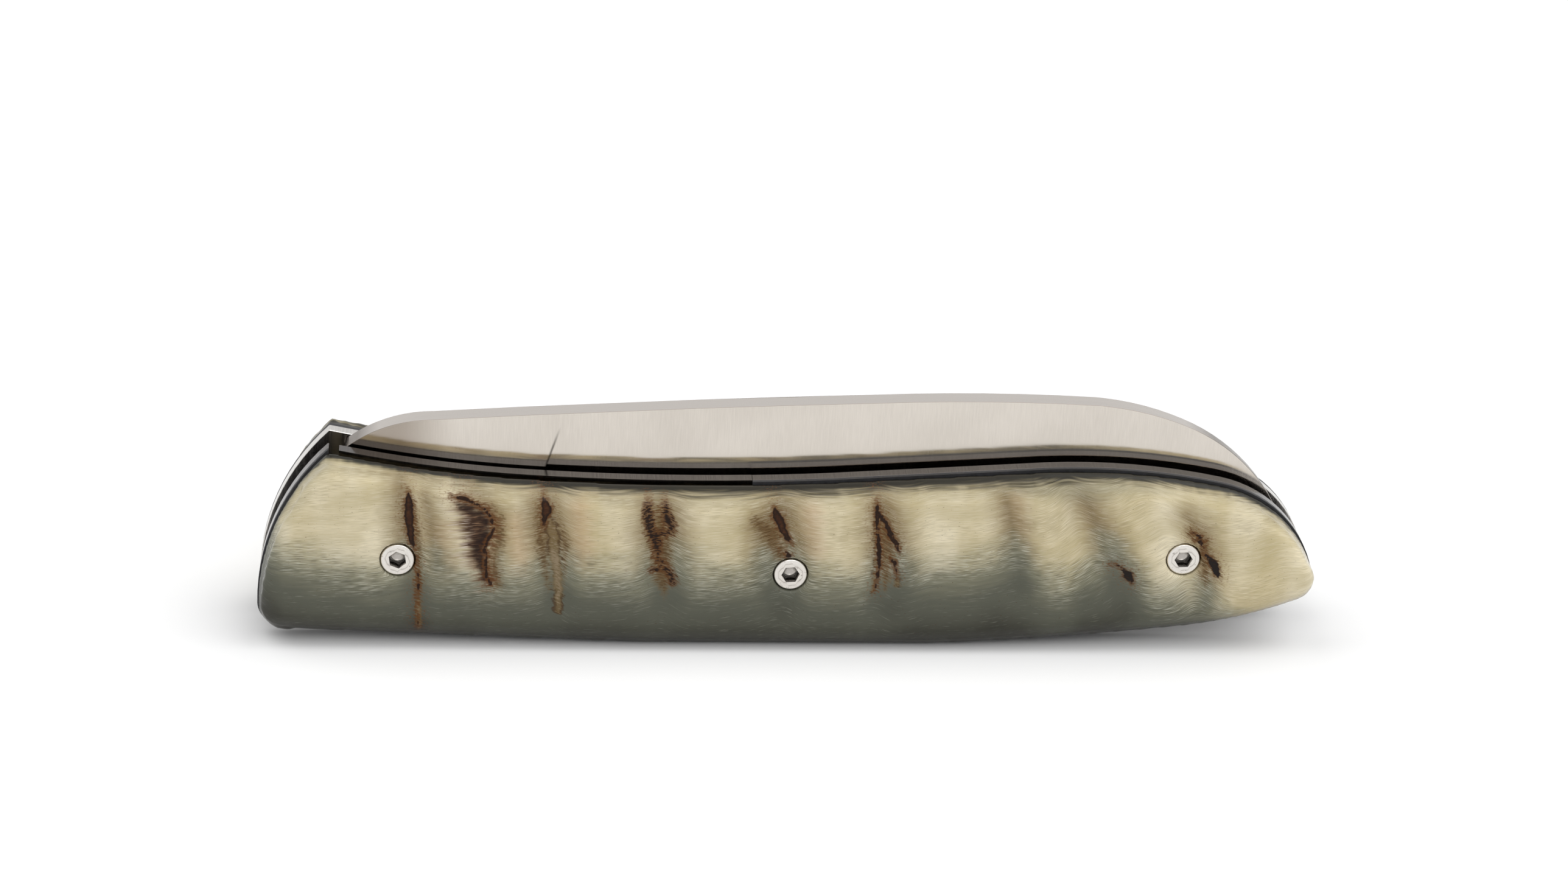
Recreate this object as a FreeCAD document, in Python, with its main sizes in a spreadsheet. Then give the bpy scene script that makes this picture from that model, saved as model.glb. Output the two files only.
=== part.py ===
import FreeCAD, Part
import math
import os
import Sketcher

# Folding pocket knife with a liner lock, closed and standing on the back of its handle.
# X runs from the pivot end to the rear end, Y from the near scale to the far scale, Z up.

SIZES = [
    # Handle outline, seen from the side
    ("handle_length", 120.0),
    ("front_corner_rise", 3.0),
    ("front_foot_height", 1.6),
    ("front_bow", 26.0),
    ("rest_front_setback", 42.0),
    ("rest_rear_setback", 44.0),
    ("belly_setback", 15.0),
    ("belly_height", 2.4),
    ("belly_bow", 400.0),
    ("rear_foot_height", 6.7),
    ("rear_foot_bow", 52.0),
    ("shoulder_setback", 11.7),
    ("shoulder_drop", 1.4),
    ("rear_bow", 14.8),
    ("crest_setback", 34.3),
    ("crest_rise", 1.27),
    ("shoulder_bow", 78.6),
    ("waist_setback", 56.0),
    ("waist_drop", 0.1),
    ("neck_setback", 30.0),
    ("waist_bow", 301.0),
    ("neck_bow", 149.0),
    ("front_foot_margin", 0.6),
    ("rear_foot_margin", 0.6),
    # Layers of the handle, from the middle outwards
    ("blade_thickness", 2.5),
    ("washer_thickness", 0.48),
    ("washer_play", 0.02),
    ("liner_thickness", 1.5),
    ("fibre_thickness", 0.5),
    ("scale_thickness", 3.8),
    ("scale_edge_radius", 2.2),
    ("scale_step", 0.15),
    # Pivot and the two handle screws
    ("pivot_setback", 15.55),
    ("middle_screw_pitch", 43.9),
    ("middle_barrel_clearance", 0.55),
    ("rear_screw_setback", 16.07),
    ("rear_barrel_clearance", 1.0),
    ("head_diameter", 3.5),
    ("head_height", 1.6),
    ("head_recess", 0.3),
    ("head_chamfer", 0.25),
    ("head_clearance", 0.25),
    ("socket_flats", 1.8),
    ("socket_depth", 1.1),
    ("pivot_socket_turn", 38.0),
    ("middle_socket_turn", 4.0),
    ("rear_socket_turn", 3.0),
    ("shank_diameter", 2.4),
    ("shank_clearance", 0.1),
    ("shank_end_gap", 0.5),
    ("thread_clearance", 0.05),
    ("barrel_diameter", 4.5),
    ("pivot_diameter", 5.0),
    ("pivot_clearance", 0.05),
    ("pin_end_recess", 0.05),
    ("pin_clearance", 0.01),
    ("washer_diameter", 9.0),
    # Blade, measured from the pivot along and across its straight spine
    ("blade_tilt", 2.5),
    ("open_angle", 175.0),
    ("spine_rise", 14.65),
    ("tang_top_drop", 0.4),
    ("tang_top_run", 4.5),
    ("tang_bow", 15.7),
    ("tang_nose_height", 11.5),
    ("tang_nose_run", 0.6),
    ("tang_nose_drop", 1.0),
    ("tang_nose_bow", 1.3),
    ("tang_land", 0.3),
    ("tang_corner_bow", 5.3),
    ("heel_length", 2.7),
    ("choil_run", 3.4),
    ("edge_depth", 1.1),
    ("tip_setback", 4.8),
    ("tip_rise", 0.3),
    ("spine_bow", 1500.0),
    ("fall_setback", 45.8),
    ("fall_bow", 250.0),
    ("drop_setback", 20.8),
    ("drop_depth", 1.1),
    ("drop_bow", 33.0),
    ("point_setback", 9.6),
    ("point_depth", 4.55),
    ("point_bow", 22.6),
    ("plunge_gap", 0.8),
    ("plunge_lean", 20.0),
    ("bevel_start", 1.2),
    ("edge_thickness", 0.35),
    # Stop pin and lock bar
    ("stop_pin_diameter", 2.5),
    ("stop_lead", 0.6),
    ("stop_drop", 1.48),
    ("stop_wall", 2.85),
    ("stop_gap", 0.05),
    ("lock_reach", 6.53),
    ("lock_gap", 0.35),
    ("lock_bar_length", 46.0),
    ("lock_bar_height", 3.45),
    ("lock_bar_clearance", 0.5),
    ("lock_tip_slot", 1.15),
    ("lock_tip_lip", 0.1),
    ("lock_kerf", 0.8),
    ("lock_root_gap", 0.02),
    ("ball_diameter", 1.5),
    ("ball_proud", 0.45),
    ("ball_clearance", 0.01),
    ("ball_setback", 3.0),
    ("ball_rise", 2.2),
    ("dimple_clearance", 0.05),
    ("dimple_depth", 0.5),
]

doc = FreeCAD.newDocument("folding_pocket_knife")
sheet = doc.addObject("Spreadsheet::Sheet", "Sizes")
for row, (name, size) in enumerate(SIZES, start=1):
    sheet.set(f"A{row}", name)
    sheet.set(f"B{row}", str(size))
    sheet.setAlias(f"B{row}", name)
doc.recompute()

# Shared places, as formulas on the sheet
FRONT = "(-Sizes.handle_length / 2)"
REAR = "(Sizes.handle_length / 2)"
HALF_GAP = "(Sizes.blade_thickness / 2 + Sizes.washer_thickness + Sizes.washer_play)"
LINER_FACE = f"({HALF_GAP} + Sizes.liner_thickness)"
FIBRE_FACE = f"({LINER_FACE} + Sizes.fibre_thickness)"
SCALE_FACE = f"({FIBRE_FACE} + Sizes.scale_thickness)"
SCALE_FLOOR = "(Sizes.scale_thickness - Sizes.head_recess - Sizes.head_height)"
HEAD_SEAT = f"({FIBRE_FACE} + {SCALE_FLOOR})"
PIVOT_X = f"({FRONT} + Sizes.pivot_setback)"
SHANK_HOLE = "(Sizes.shank_diameter / 2 + Sizes.shank_clearance)"
PIVOT_HOLE = "(Sizes.pivot_diameter / 2 + Sizes.pivot_clearance)"
PIN_HOLE = "(Sizes.stop_pin_diameter / 2 + Sizes.pin_clearance)"

# Stop pin in the blade's own axes, with the blade closed, and in the handle
TANG_RADIUS = "(Sizes.washer_diameter / 2 + Sizes.tang_land)"
HEEL_X = "(Sizes.lock_reach + Sizes.lock_gap)"
STOP_X = f"({HEEL_X} - Sizes.stop_lead)"
STOP_Z = f"(-{TANG_RADIUS} - Sizes.stop_pin_diameter / 2 - Sizes.stop_drop)"
STOP_REACH = "(Sizes.stop_pin_diameter / 2 + Sizes.stop_gap)"
HEEL_Z = f"({STOP_Z} + sqrt({STOP_REACH} ^ 2 - Sizes.stop_lead ^ 2))"
TANG_FRONT = f"({STOP_X} * cos(Sizes.open_angle) + {STOP_Z} * sin(Sizes.open_angle) + {STOP_REACH})"
PIN_X = f"({PIVOT_X} + {STOP_X} * cos(Sizes.blade_tilt) - {STOP_Z} * sin(Sizes.blade_tilt))"
PIN_Z = "(Sizes.stop_wall + Sizes.stop_pin_diameter / 2)"
PIVOT_Z = f"({PIN_Z} - {STOP_X} * sin(Sizes.blade_tilt) - {STOP_Z} * cos(Sizes.blade_tilt))"

# Cutting edge in the blade's own axes, and its height over the handle at a distance from the pivot
EDGE_X = f"({HEEL_X} + Sizes.heel_length + Sizes.choil_run)"
TIP_X = "((Sizes.handle_length - Sizes.pivot_setback - Sizes.tip_setback) / cos(Sizes.blade_tilt))"
EDGE_SLOPE = f"((Sizes.tip_rise + Sizes.edge_depth) / ({TIP_X} - {EDGE_X}))"


def edge_height(run):
    own = f"(({run} - {EDGE_X}) * {EDGE_SLOPE} - Sizes.edge_depth)"
    return f"({PIVOT_Z} + {run} * tan(Sizes.blade_tilt) + {own} / cos(Sizes.blade_tilt))"


# The two other screws lie under the edge, which clears their barrels
MIDDLE_X = f"({PIVOT_X} + Sizes.middle_screw_pitch)"
MIDDLE_EDGE = edge_height("Sizes.middle_screw_pitch")
MIDDLE_Z = f"({MIDDLE_EDGE} - Sizes.middle_barrel_clearance - Sizes.barrel_diameter / 2)"
REAR_X = f"({REAR} - Sizes.rear_screw_setback)"
REAR_EDGE = edge_height("(Sizes.handle_length - Sizes.pivot_setback - Sizes.rear_screw_setback)")
REAR_Z = f"({REAR_EDGE} - Sizes.rear_barrel_clearance - Sizes.barrel_diameter / 2)"
SCREWS = {"pivot": (PIVOT_X, PIVOT_Z), "middle": (MIDDLE_X, MIDDLE_Z), "rear": (REAR_X, REAR_Z)}

# Lock bar in the handle
BAR_TIP = f"({PIVOT_X} - Sizes.lock_reach)"
BAR_ROOT = f"({BAR_TIP} + Sizes.lock_bar_length)"
BAR_FOOT = f"({PIVOT_Z} + {TANG_RADIUS} + Sizes.lock_bar_clearance)"
BALL_X = f"({BAR_TIP} + Sizes.ball_setback)"
BALL_RISE = f"({TANG_RADIUS} + Sizes.lock_bar_clearance + Sizes.ball_rise)"
BALL_Z = f"({PIVOT_Z} + {BALL_RISE})"

# The top edge of the handle leaves room for the lock bar over the tang
NECK_Z = f"({BAR_FOOT} + Sizes.lock_bar_height)"
WAIST_Z = f"({NECK_Z} - Sizes.waist_drop)"
CREST_Z = f"({NECK_Z} + Sizes.crest_rise)"
SHOULDER_Z = f"({CREST_Z} - Sizes.shoulder_drop)"
CORNER_X = f"({BAR_TIP} - Sizes.lock_tip_slot - Sizes.lock_tip_lip)"
CORNER_Z = f"({NECK_Z} + Sizes.front_corner_rise)"
ABOVE = f"({CORNER_Z} + Sizes.scale_thickness)"


def value(formula):
    return float(sheet.evalExpression(formula))


def plane(body, role):
    return next(item for item in body.Origin.OriginFeatures if item.Role == role)


def new_body(name, y_place=None):
    body = doc.addObject("PartDesign::Body", name)
    body.Label = name
    if y_place:
        body.setExpression("Placement.Base.y", y_place)
    return body


def new_sketch(body, name, role="XZ_Plane", offset=None):
    sketch = body.newObject("Sketcher::SketchObject", f"{body.Name}_{name}")
    sketch.AttachmentSupport = [(plane(body, role), "")]
    sketch.MapMode = "FlatFace"
    if offset:
        sketch.setExpression("AttachmentOffset.Base.z", offset)
    return sketch


def pin_point(sketch, index, end, x, y):
    for kind, axis, formula in (("DistanceX", -2, x), ("DistanceY", -1, y)):
        if formula == "0":
            sketch.addConstraint(Sketcher.Constraint("PointOnObject", index, end, axis))
            continue
        number = sketch.addConstraint(Sketcher.Constraint(kind, -1, 1, index, end, value(formula)))
        sketch.setExpression(f"Constraints[{number}]", formula)


def arc_geometry(start, end, radius, side):
    # The centre lies to the left of the way from start to end where side is 1, to the right where it is -1
    middle = (start + end) / 2
    chord = end - start
    rise = math.sqrt(radius ** 2 - (chord.Length / 2) ** 2)
    centre = middle + FreeCAD.Vector(-chord.y, chord.x, 0).normalize() * rise * side
    first, last = (start, end) if side > 0 else (end, start)
    angles = [math.atan2(point.y - centre.y, point.x - centre.x) for point in (first, last)]
    circle = Part.Circle(centre, FreeCAD.Vector(0, 0, 1), radius)
    return Part.ArcOfCircle(circle, angles[0], angles[1])


def draw_outline(sketch, corners, bows=None):
    # A closed outline through the corners: straight, or bowed to a radius where bows names the stretch
    bows = bows or {}
    points = [FreeCAD.Vector(value(x), value(y), 0) for x, y in corners]
    stretches = []
    for number, start in enumerate(points):
        end = points[(number + 1) % len(points)]
        if number in bows:
            radius, side = bows[number]
            index = sketch.addGeometry(arc_geometry(start, end, value(radius), side))
            mark = sketch.addConstraint(Sketcher.Constraint("Radius", index, value(radius)))
            sketch.setExpression(f"Constraints[{mark}]", radius)
            stretches.append((index, 1, 2) if side > 0 else (index, 2, 1))
        else:
            index = sketch.addGeometry(Part.LineSegment(start, end))
            stretches.append((index, 1, 2))
    for number, (index, first, last) in enumerate(stretches):
        following = stretches[(number + 1) % len(stretches)]
        sketch.addConstraint(Sketcher.Constraint("Coincident", index, last, following[0], following[1]))
        pin_point(sketch, index, first, *corners[number])


def draw_circle(sketch, x, y, radius):
    centre = FreeCAD.Vector(value(x), value(y), 0)
    index = sketch.addGeometry(Part.Circle(centre, FreeCAD.Vector(0, 0, 1), value(radius)))
    mark = sketch.addConstraint(Sketcher.Constraint("Radius", index, value(radius)))
    sketch.setExpression(f"Constraints[{mark}]", radius)
    pin_point(sketch, index, 3, x, y)


def draw_box(sketch, left, low, right, high):
    draw_outline(sketch, [(left, low), (right, low), (right, high), (left, high)])


def draw_handle(sketch, top_step=None):
    # Outline of the handle; top_step lowers its upper edge
    step = f" - {top_step}" if top_step else ""
    corners = [
        (CORNER_X, f"{CORNER_Z}{step}"),
        (FRONT, "Sizes.front_foot_height"),
        (f"{FRONT} + Sizes.rest_front_setback", "0"),
        (f"{REAR} - Sizes.rest_rear_setback", "0"),
        (f"{REAR} - Sizes.belly_setback", "Sizes.belly_height"),
        (REAR, "Sizes.rear_foot_height"),
        (f"{REAR} - Sizes.shoulder_setback", f"{SHOULDER_Z}{step}"),
        (f"{REAR} - Sizes.crest_setback", f"{CREST_Z}{step}"),
        (f"{REAR} - Sizes.waist_setback", f"{WAIST_Z}{step}"),
        (f"{FRONT} + Sizes.neck_setback", f"{NECK_Z}{step}"),
    ]
    bows = {
        0: ("Sizes.front_bow", 1),
        3: ("Sizes.belly_bow", 1),
        4: ("Sizes.rear_foot_bow", 1),
        5: ("Sizes.rear_bow", 1),
        6: ("Sizes.shoulder_bow", 1),
        8: ("Sizes.waist_bow", -1),
        9: ("Sizes.neck_bow", -1),
    }
    draw_outline(sketch, corners, bows)


def pad(body, sketch, length, outward=True, midplane=False):
    feature = body.newObject("PartDesign::Pad", f"{sketch.Name}_pad")
    feature.Profile = sketch
    feature.setExpression("Length", length)
    feature.Reversed = not outward
    feature.SideType = "Symmetric" if midplane else "One side"
    sketch.Visibility = False
    doc.recompute()
    return feature


def pocket(body, sketch, length=None, outward=False, midplane=False, along=None):
    # A cut through everything, or to a depth where one is given
    feature = body.newObject("PartDesign::Pocket", f"{sketch.Name}_pocket")
    feature.Profile = sketch
    feature.Reversed = outward
    feature.SideType = "Symmetric" if midplane else "One side"
    if length:
        feature.setExpression("Length", length)
    else:
        feature.Type = "ThroughAll"
    if along:
        feature.UseCustomVector = True
        feature.Direction = along
        feature.Reversed = False
    sketch.Visibility = False
    before = body.Shape.Volume
    doc.recompute()
    if body.Shape.Volume >= before:
        raise ValueError(f"{feature.Name} removes nothing")
    return feature


def round_edges(body, radius, chosen):
    base = body.Tip
    names = [f"Edge{number}" for number, edge in enumerate(base.Shape.Edges, start=1) if chosen(edge)]
    feature = body.newObject("PartDesign::Fillet", f"{body.Name}_fillet_{len(body.Group)}")
    feature.Base = (base, names)
    feature.setExpression("Radius", radius)
    doc.recompute()
    return feature


def round_feet(body):
    # The two lower corners of the handle outline
    feet = [
        (FRONT, "Sizes.front_foot_height", "Sizes.scale_edge_radius + Sizes.front_foot_margin"),
        (REAR, "Sizes.rear_foot_height", "Sizes.scale_edge_radius + Sizes.rear_foot_margin"),
    ]
    for x, z, radius in feet:
        corner = (value(x), value(z))

        def at_corner(edge):
            return all(math.dist((v.X, v.Z), corner) < 0.001 for v in edge.Vertexes)

        round_edges(body, radius, at_corner)


def cut_screw_holes(body):
    sketch = new_sketch(body, "screw_holes")
    for x, z in SCREWS.values():
        draw_circle(sketch, x, z, SHANK_HOLE)
    pocket(body, sketch, midplane=True)


def make_scale(name):
    # Horn scale with a rounded outer edge and a counterbore for each screw head
    body = new_body(name, f"-{FIBRE_FACE}")
    outline = new_sketch(body, "outline")
    draw_handle(outline, "Sizes.scale_step")
    pad(body, outline, "Sizes.scale_thickness")
    round_feet(body)
    face_y = -value("Sizes.scale_thickness")
    round_edges(body, "Sizes.scale_edge_radius", lambda edge: abs(edge.BoundBox.YMax - face_y) < 0.001)
    cut_screw_holes(body)
    seats = new_sketch(body, "head_seats", offset=SCALE_FLOOR)
    for x, z in SCREWS.values():
        draw_circle(seats, x, z, "Sizes.head_diameter / 2 + Sizes.head_clearance")
    pocket(body, seats, outward=True)
    return body


def make_sheet(name, inner, thickness, near, room_for_bar):
    # A liner or fibre sheet, with an opening for the lock bar on the near side
    body = new_body(name, f"-{inner}" if near else inner)
    outline = new_sketch(body, "outline")
    draw_handle(outline)
    pad(body, outline, thickness, outward=near)
    round_feet(body)
    cut_screw_holes(body)
    if room_for_bar:
        slot = new_sketch(body, "lock_slot")
        root = f"{BAR_ROOT} + Sizes.lock_root_gap"
        draw_box(slot, f"{BAR_TIP} - Sizes.lock_tip_slot", f"{BAR_FOOT} - Sizes.lock_kerf", root, ABOVE)
        pocket(body, slot, midplane=True)
    return body


def cut_liner_holes(body):
    # The pivot and the stop pin pass through the liner
    sketch = new_sketch(body, "pins")
    draw_circle(sketch, PIVOT_X, PIVOT_Z, "Sizes.pivot_diameter / 2 + Sizes.pin_clearance")
    draw_circle(sketch, PIN_X, PIN_Z, PIN_HOLE)
    pocket(body, sketch, midplane=True)


def make_lock_bar(name):
    # The part of the near liner that springs sideways, parted from it by a narrow kerf
    body = new_body(name, f"-{HALF_GAP}")
    outline = new_sketch(body, "outline")
    draw_handle(outline)
    pad(body, outline, "Sizes.liner_thickness")
    waste = new_sketch(body, "waste")
    draw_box(waste, f"{FRONT} - 5", "-5", f"{REAR} + 5", ABOVE)
    draw_box(waste, BAR_TIP, BAR_FOOT, BAR_ROOT, f"{ABOVE} - 1")
    pocket(body, waste, midplane=True)
    seat = new_sketch(body, "ball_seat")
    draw_circle(seat, BALL_X, BALL_Z, "Sizes.ball_diameter / 2 + Sizes.ball_clearance")
    depth = "Sizes.ball_diameter - Sizes.ball_proud + Sizes.ball_clearance"
    pocket(body, seat, depth, outward=True)
    return body


def make_blade(name):
    # Blade drawn in its own axes: pivot at the origin, spine along X
    body = new_body(name)
    corners = [
        ("Sizes.tang_top_run", "Sizes.spine_rise - Sizes.tang_top_drop"),
        (f"{TANG_FRONT} + Sizes.tang_nose_run", "Sizes.tang_nose_height"),
        (TANG_FRONT, "Sizes.tang_nose_height - Sizes.tang_nose_drop"),
        (TANG_FRONT, "0"),
        ("0", f"-{TANG_RADIUS}"),
        (HEEL_X, f"-{TANG_RADIUS}"),
        (HEEL_X, HEEL_Z),
        (f"{HEEL_X} + Sizes.heel_length", HEEL_Z),
        (EDGE_X, "-Sizes.edge_depth"),
        (TIP_X, "Sizes.tip_rise"),
        (f"{TIP_X} - Sizes.point_setback", "Sizes.spine_rise - Sizes.point_depth"),
        (f"{TIP_X} - Sizes.drop_setback", "Sizes.spine_rise - Sizes.drop_depth"),
        (f"{TIP_X} - Sizes.fall_setback", "Sizes.spine_rise"),
    ]
    bows = {
        0: ("Sizes.tang_bow", 1),
        1: ("Sizes.tang_nose_bow", 1),
        3: ("Sizes.tang_corner_bow", 1),
        9: ("Sizes.point_bow", 1),
        10: ("Sizes.drop_bow", 1),
        11: ("Sizes.fall_bow", 1),
        12: ("Sizes.spine_bow", 1),
    }
    outline = new_sketch(body, "outline")
    draw_outline(outline, corners, bows)
    pad(body, outline, "Sizes.blade_thickness", midplane=True)
    cut_bevels(body)
    hole = new_sketch(body, "pivot_hole")
    draw_circle(hole, "0", "0", PIVOT_HOLE)
    pocket(body, hole, midplane=True)
    dimple = new_sketch(body, "dimple", offset="Sizes.blade_thickness / 2")
    run = "(Sizes.ball_setback - Sizes.lock_reach)"
    across = f"{run} * cos(Sizes.blade_tilt) + {BALL_RISE} * sin(Sizes.blade_tilt)"
    up = f"{BALL_RISE} * cos(Sizes.blade_tilt) - {run} * sin(Sizes.blade_tilt)"
    draw_circle(dimple, across, up, "Sizes.ball_diameter / 2 + Sizes.dimple_clearance")
    pocket(body, dimple, "Sizes.dimple_depth")
    body.setExpression("Placement.Base.x", PIVOT_X)
    body.setExpression("Placement.Base.z", PIVOT_Z)
    body.Placement.Rotation = FreeCAD.Rotation(FreeCAD.Vector(0, 1, 0), -value("Sizes.blade_tilt"))
    body.setExpression("Placement.Rotation.Angle", "-Sizes.blade_tilt")
    return body


def cut_bevels(body):
    # Flat bevels from the spine to the edge on both sides, starting at a leaning plunge line
    sketch = new_sketch(body, "bevels", "YZ_Plane", f"{EDGE_X} + Sizes.plunge_gap")
    lean = "cos(Sizes.plunge_lean)"
    top = f"(Sizes.spine_rise - Sizes.bevel_start) / {lean}"
    edge = f"-Sizes.edge_depth / {lean}"
    below = "-Sizes.edge_depth - 4"
    for side in ("", "-"):
        face = f"{side}Sizes.blade_thickness / 2"
        keen = f"{side}Sizes.edge_thickness / 2"
        clear = f"{side}Sizes.blade_thickness"
        draw_outline(sketch, [(face, top), (keen, edge), (keen, below), (clear, below), (clear, top)])
    sketch.AttachmentOffset.Rotation = FreeCAD.Rotation(FreeCAD.Vector(1, 0, 0), value("Sizes.plunge_lean"))
    sketch.setExpression("AttachmentOffset.Rotation.Angle", "Sizes.plunge_lean")
    pocket(body, sketch, "Sizes.handle_length", outward=True, along=FreeCAD.Vector(1, 0, 0))


def make_cylinder(name, x, z, half_length, radius, centre="0"):
    # A round bar across the handle; centre is its distance from the middle plane
    bar = doc.addObject("Part::Cylinder", name)
    bar.setExpression("Radius", radius)
    bar.setExpression("Height", f"2 * {half_length}")
    bar.Placement.Rotation = FreeCAD.Rotation(FreeCAD.Vector(1, 0, 0), 90)
    bar.setExpression("Placement.Base.x", x)
    bar.setExpression("Placement.Base.y", f"{centre} + {half_length}")
    bar.setExpression("Placement.Base.z", z)
    return bar


def make_tube(name, x, z, half_length, outer, inner, centre="0"):
    tube = doc.addObject("Part::Cut", name)
    tube.Base = make_cylinder(f"{name}_outside", x, z, half_length, outer, centre)
    tube.Tool = make_cylinder(f"{name}_bore", x, z, f"({half_length} + 1)", inner, centre)
    tube.Label = name
    return tube


def make_screw(name, x, z, turn):
    # Flat socket-head screw, drawn from the face of its head at the origin and driven along Y
    body = new_body(name, f"-({HEAD_SEAT} + Sizes.head_height)")
    profile = new_sketch(body, "profile", "XY_Plane")
    head = "Sizes.head_diameter / 2"
    shank = "Sizes.shank_diameter / 2"
    end = f"{HEAD_SEAT} + Sizes.head_height - Sizes.shank_end_gap / 2"
    corners = [
        ("0", "0"),
        (f"{head} - Sizes.head_chamfer", "0"),
        (head, "Sizes.head_chamfer"),
        (head, "Sizes.head_height"),
        (shank, "Sizes.head_height"),
        (shank, end),
        ("0", end),
    ]
    draw_outline(profile, corners)
    turned = body.newObject("PartDesign::Revolution", f"{name}_turned")
    turned.Profile = profile
    turned.ReferenceAxis = (profile, ["V_Axis"])
    turned.Angle = 360
    profile.Visibility = False
    doc.recompute()
    socket = new_sketch(body, "socket")
    corner = "Sizes.socket_flats / sqrt(3)"
    turns = [f"({angle} + {turn})" for angle in range(30, 390, 60)]
    draw_outline(socket, [(f"{corner} * cos{angle}", f"{corner} * sin{angle}") for angle in turns])
    pocket(body, socket, "Sizes.socket_depth")
    body.setExpression("Placement.Base.x", x)
    body.setExpression("Placement.Base.z", z)
    return body


def mirror(source, name):
    copy = doc.addObject("Part::Mirroring", name)
    copy.Source = source
    copy.Normal = FreeCAD.Vector(0, 1, 0)
    copy.Label = name
    return copy


# Handle, from the scales inwards
near_scale = make_scale("near_scale")
far_scale = mirror(near_scale, "far_scale")
near_fibre = make_sheet("near_fibre_sheet", LINER_FACE, "Sizes.fibre_thickness", True, True)
far_fibre = make_sheet("far_fibre_sheet", LINER_FACE, "Sizes.fibre_thickness", False, False)
lock_liner = make_sheet("lock_liner", HALF_GAP, "Sizes.liner_thickness", True, True)
plain_liner = make_sheet("plain_liner", HALF_GAP, "Sizes.liner_thickness", False, False)
for liner in (lock_liner, plain_liner):
    cut_liner_holes(liner)
lock_bar = make_lock_bar("lock_bar")

# Detent ball, pressed into the lock bar
ball = doc.addObject("Part::Sphere", "detent_ball")
ball.setExpression("Radius", "Sizes.ball_diameter / 2")
ball.setExpression("Placement.Base.x", BALL_X)
ball.setExpression("Placement.Base.y", f"Sizes.ball_proud - {HALF_GAP} - Sizes.ball_diameter / 2")
ball.setExpression("Placement.Base.z", BALL_Z)

blade = make_blade("blade")

# Pivot, washers, stop pin and the two barrels that hold the liners apart
THREAD = "Sizes.shank_diameter / 2 + Sizes.thread_clearance"
PIN_END = f"({LINER_FACE} - Sizes.pin_end_recess)"
pivot_barrel = make_tube("pivot_barrel", PIVOT_X, PIVOT_Z, PIN_END, "Sizes.pivot_diameter / 2", THREAD)
WASHER_HALF = "(Sizes.washer_thickness / 2)"
WASHER_Y = f"({WASHER_HALF} - {HALF_GAP})"
WASHER_EDGE = "Sizes.washer_diameter / 2"
near_washer = make_tube("near_washer", PIVOT_X, PIVOT_Z, WASHER_HALF, WASHER_EDGE, PIVOT_HOLE, WASHER_Y)
far_washer = mirror(near_washer, "far_washer")
stop_pin = make_cylinder("stop_pin", PIN_X, PIN_Z, PIN_END, "Sizes.stop_pin_diameter / 2")
barrels = [
    make_tube(f"{place}_barrel", *SCREWS[place], HALF_GAP, "Sizes.barrel_diameter / 2", THREAD)
    for place in ("middle", "rear")
]

# Screws, one from each side into each barrel
near_screws = [
    make_screw(f"near_{place}_screw", *spot, f"Sizes.{place}_socket_turn")
    for place, spot in SCREWS.items()
]
far_screws = [mirror(screw, screw.Label.replace("near", "far")) for screw in near_screws]

doc.recompute()

NODES = [near_scale, far_scale, near_fibre, far_fibre, lock_liner, plain_liner, lock_bar, ball, blade]
NODES += [pivot_barrel, near_washer, far_washer, stop_pin] + barrels + near_screws + far_screws

for item in doc.Objects:
    if "Invalid" in item.State or "Error" in item.State:
        raise ValueError(f"{item.Label}: {item.State}")

os.makedirs("parts", exist_ok=True)
for node in NODES:
    shape = node.Shape
    if not shape.isValid() or len(shape.Solids) != 1:
        raise ValueError(f"{node.Label} is not one sound solid")
    shape.exportStep(f"parts/{node.Label}.step")
    box = shape.BoundBox
    print(f"{node.Label}: {shape.Volume:.1f} mm3, X {box.XMin:.2f} {box.XMax:.2f},"
          f" Y {box.YMin:.2f} {box.YMax:.2f}, Z {box.ZMin:.2f} {box.ZMax:.2f}")
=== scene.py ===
import math

import bpy
import numpy as np
from mathutils import Matrix, Vector


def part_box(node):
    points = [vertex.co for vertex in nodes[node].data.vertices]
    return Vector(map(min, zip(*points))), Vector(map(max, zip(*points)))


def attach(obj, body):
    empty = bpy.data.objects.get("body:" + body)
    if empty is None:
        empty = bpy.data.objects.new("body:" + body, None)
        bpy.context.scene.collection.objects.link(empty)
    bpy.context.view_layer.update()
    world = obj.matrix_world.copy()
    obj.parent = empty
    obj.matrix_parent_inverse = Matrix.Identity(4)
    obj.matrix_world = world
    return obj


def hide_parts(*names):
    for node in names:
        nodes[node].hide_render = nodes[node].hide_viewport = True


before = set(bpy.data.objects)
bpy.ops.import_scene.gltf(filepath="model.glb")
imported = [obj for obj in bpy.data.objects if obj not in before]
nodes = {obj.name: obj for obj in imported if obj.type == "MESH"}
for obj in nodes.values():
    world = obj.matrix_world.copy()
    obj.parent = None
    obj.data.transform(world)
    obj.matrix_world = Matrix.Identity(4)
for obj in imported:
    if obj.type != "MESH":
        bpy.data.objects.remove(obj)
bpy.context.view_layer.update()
scene = bpy.context.scene
scene.view_settings.view_transform = "Standard"

MM = 0.001
# Axes of the frame
ALONG, OUTWARD, UP = 0, 1, 2
# Sockets of a Mix node for colours, by number because their names repeat
SHARE, UNDER, OVER, MIXED = 0, 6, 7, 2


def linear(code):
    parts = [int(code[start:start + 2], 16) / 255 for start in (1, 3, 5)]
    return [part / 12.92 if part <= 0.04045 else ((part + 0.055) / 1.055) ** 2.4 for part in parts] + [1.0]


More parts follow.
